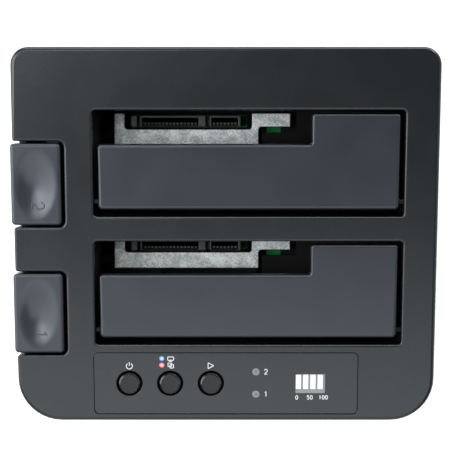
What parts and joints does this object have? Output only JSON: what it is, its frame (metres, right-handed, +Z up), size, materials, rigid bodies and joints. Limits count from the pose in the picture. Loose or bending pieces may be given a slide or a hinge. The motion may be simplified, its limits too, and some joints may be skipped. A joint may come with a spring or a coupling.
{
  "type": "hard drive docking station",
  "caption": "Desktop docking station with a sloping top: sprung flaps close the drive bays, eject buttons lift the drives, and a control panel has push buttons and lights.",
  "frame": {"origin": "on the table, under the middle of the part's box", "axes": "+X to the right, +Y to the back with the sockets, +Z up"},
  "size_m": [0.1418, 0.126, 0.0642],
  "materials": {
    "casing_plastic": "finely grained moulded ABS",
    "button_plastic": "satin moulded ABS",
    "inner_plastic": "moulded, unpainted",
    "foot_rubber": "matte",
    "plain_steel": "plain",
    "galvanised_steel": "zinc spangle",
    "ivory_plastic": "moulded",
    "blue_lens": "diffusing",
    "red_lens": "diffusing",
    "grey_lens": "smoked, diffusing",
    "white_diffuser": "diffusing",
    "board_laminate": "solder mask over glass laminate",
    "chip_resin": "moulded resin",
    "can_aluminium": "drawn",
    "blue_plastic": "moulded",
    "contact_metal": "gold flash"
  },
  "bodies": {
    "housing": {"top_cover": "casing_plastic", "base_tray": "casing_plastic", "control_panel": "casing_plastic", "drive_well_rear": "inner_plastic", "drive_well_front": "inner_plastic", "sata_connector_rear": "inner_plastic", "sata_connector_front": "inner_plastic", "power_jack": "inner_plastic", "tact_switches": "inner_plastic", "rubber_feet": "foot_rubber", "case_screws": "plain_steel", "control_board_screws": "plain_steel", "board_screws": "plain_steel", "well_screws": "plain_steel", "flap_pin_rear": "plain_steel", "flap_pin_front": "plain_steel", "rocker_pin_rear": "plain_steel", "rocker_pin_front": "plain_steel", "eject_posts": "plain_steel", "flap_spring_rear": "plain_steel", "flap_spring_front": "plain_steel", "eject_spring_rear": "plain_steel", "eject_spring_front": "plain_steel", "usb_shell": "plain_steel", "ribbon_sockets": "ivory_plastic", "ribbon_cable": "ivory_plastic", "mode_lens_blue": "blue_lens", "mode_lens_red": "red_lens", "drive_lens_rear": "grey_lens", "drive_lens_front": "grey_lens", "progress_frame": "grey_lens", "progress_segments": "white_diffuser", "indicator_leds": "white_diffuser", "control_board": "board_laminate", "main_board": "board_laminate", "bridge_chips": "chip_resin", "inductors": "chip_resin", "capacitors": "can_aluminium", "usb_tongue": "blue_plastic", "power_jack_pin": "contact_metal", "sata_contacts_rear": "contact_metal", "sata_contacts_front": "contact_metal"},
    "flap_rear": {"flap_rear": "casing_plastic"},
    "flap_front": {"flap_front": "casing_plastic"},
    "eject_button_rear": {"eject_button_rear": "casing_plastic"},
    "eject_button_front": {"eject_button_front": "casing_plastic"},
    "eject_rocker_rear": {"eject_rocker_rear": "inner_plastic"},
    "eject_rocker_front": {"eject_rocker_front": "inner_plastic"},
    "lift_plate_rear": {"lift_plate_rear": "galvanised_steel"},
    "lift_plate_front": {"lift_plate_front": "galvanised_steel"},
    "power_button": {"power_button": "button_plastic", "power_plunger": "ivory_plastic"},
    "mode_button": {"mode_button": "button_plastic", "mode_plunger": "ivory_plastic"},
    "start_button": {"start_button": "button_plastic", "start_plunger": "ivory_plastic"}
  },
  "joints": [
    {"name": "flap_rear_hinge", "type": "hinge", "parent": "housing", "child": "flap_rear", "pos_m": [0.0079, 0.012, 0.05288], "axis": [-1, 0, 0], "range_deg": [0, 99], "stiffness_Nm_per_rad": 0.003, "springref_deg": -45.84, "deforming": ["flap_spring_rear"]},
    {"name": "eject_rear_press", "type": "slide", "parent": "housing", "child": "eject_button_rear", "axis": [0, 0, -1], "range_m": [0, 0.005], "stiffness_N_per_m": 400, "springref_m": -0.002, "deforming": ["eject_spring_rear"]},
    {"name": "rocker_rear_pivot", "type": "hinge", "parent": "housing", "child": "eject_rocker_rear", "pos_m": [-0.0481, 0.0339, 0.01565], "axis": [0, -1, 0], "range_deg": [0, 26.27]},
    {"name": "lift_rear_slide", "type": "slide", "parent": "housing", "child": "lift_plate_rear", "axis": [0, 0, 1], "range_m": [0, 0.005]},
    {"name": "flap_front_hinge", "type": "hinge", "parent": "housing", "child": "flap_front", "pos_m": [0.0079, -0.0316, 0.04597], "axis": [-1, 0, 0], "range_deg": [0, 99], "stiffness_Nm_per_rad": 0.003, "springref_deg": -45.84, "deforming": ["flap_spring_front"]},
    {"name": "eject_front_press", "type": "slide", "parent": "housing", "child": "eject_button_front", "axis": [0, 0, -1], "range_m": [0, 0.005], "stiffness_N_per_m": 400, "springref_m": -0.002, "deforming": ["eject_spring_front"]},
    {"name": "rocker_front_pivot", "type": "hinge", "parent": "housing", "child": "eject_rocker_front", "pos_m": [-0.0481, -0.0097, 0.01565], "axis": [0, -1, 0], "range_deg": [0, 26.27]},
    {"name": "lift_front_slide", "type": "slide", "parent": "housing", "child": "lift_plate_front", "axis": [0, 0, 1], "range_m": [0, 0.005]},
    {"name": "power_press", "type": "slide", "parent": "housing", "child": "power_button", "axis": [0, 0.1564, -0.9877], "range_m": [0, 0.0006], "stiffness_N_per_m": 1500, "springref_m": -0.0002},
    {"name": "mode_press", "type": "slide", "parent": "housing", "child": "mode_button", "axis": [0, 0.1564, -0.9877], "range_m": [0, 0.0006], "stiffness_N_per_m": 1500, "springref_m": -0.0002},
    {"name": "start_press", "type": "slide", "parent": "housing", "child": "start_button", "axis": [0, 0.1564, -0.9877], "range_m": [0, 0.0006], "stiffness_N_per_m": 1500, "springref_m": -0.0002}
  ],
  "couplings": [
    {"joint": "rocker_rear_pivot", "follows": "eject_rear_press", "rad_per_m": 91.71},
    {"joint": "lift_rear_slide", "follows": "eject_rear_press", "ratio": 1},
    {"joint": "rocker_front_pivot", "follows": "eject_front_press", "rad_per_m": 91.71},
    {"joint": "lift_front_slide", "follows": "eject_front_press", "ratio": 1}
  ]
}
